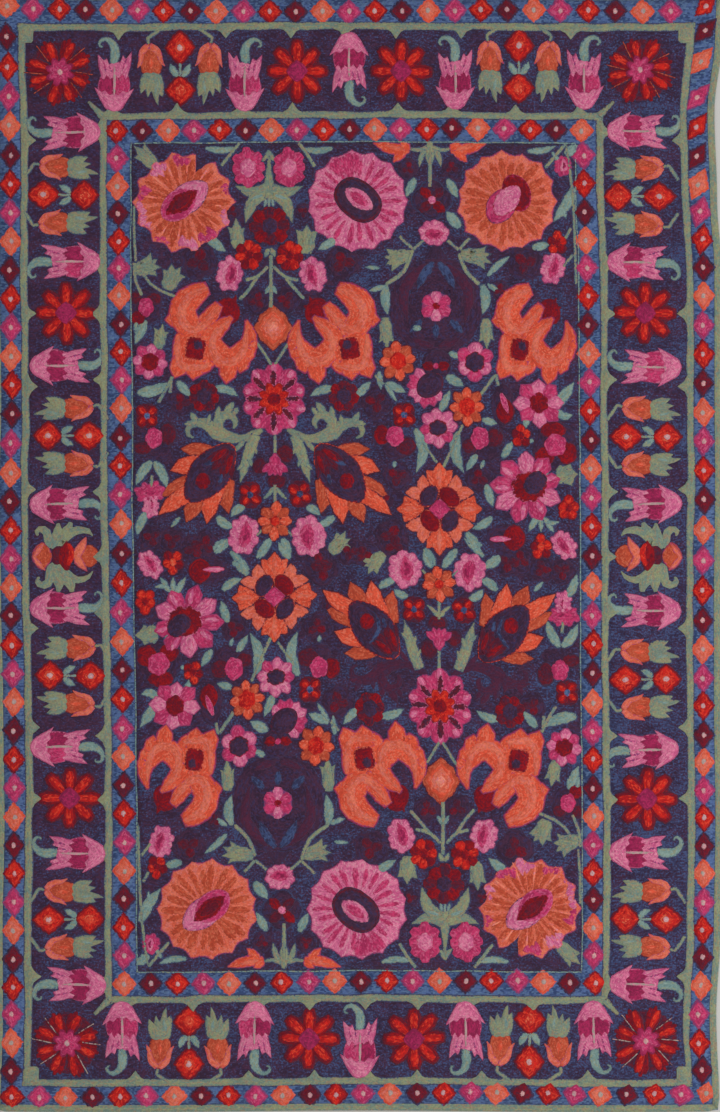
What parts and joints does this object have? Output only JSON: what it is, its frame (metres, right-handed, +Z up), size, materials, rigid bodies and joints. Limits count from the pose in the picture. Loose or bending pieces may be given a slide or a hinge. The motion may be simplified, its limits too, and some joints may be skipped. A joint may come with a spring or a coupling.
{
  "type": "chain-stitched crewel embroidery floor rug",
  "caption": "Flat rectangular floor rug embroidered all over in wool chain stitch, with floral borders and a narrow folded binding along its edges.",
  "frame": {"origin": "middle of the rug's box, on the underside that lies on the floor", "axes": "+X to the right across the rug seen from above, +Y up its length, +Z up out of its face"},
  "size_m": [1.2336, 1.8838, 0.0032],
  "materials": {
    "embroidered_cloth": "wool chain stitch on cotton ground cloth, matt, in plum, denim blue, sage, red, magenta, pink and orange",
    "binding": "sage wool, matt"
  },
  "bodies": {
    "root": {"ground_cloth": "embroidered_cloth", "binding_left": "binding", "binding_right": "binding", "binding_top": "binding", "binding_bottom": "binding"}
  },
  "joints": []
}
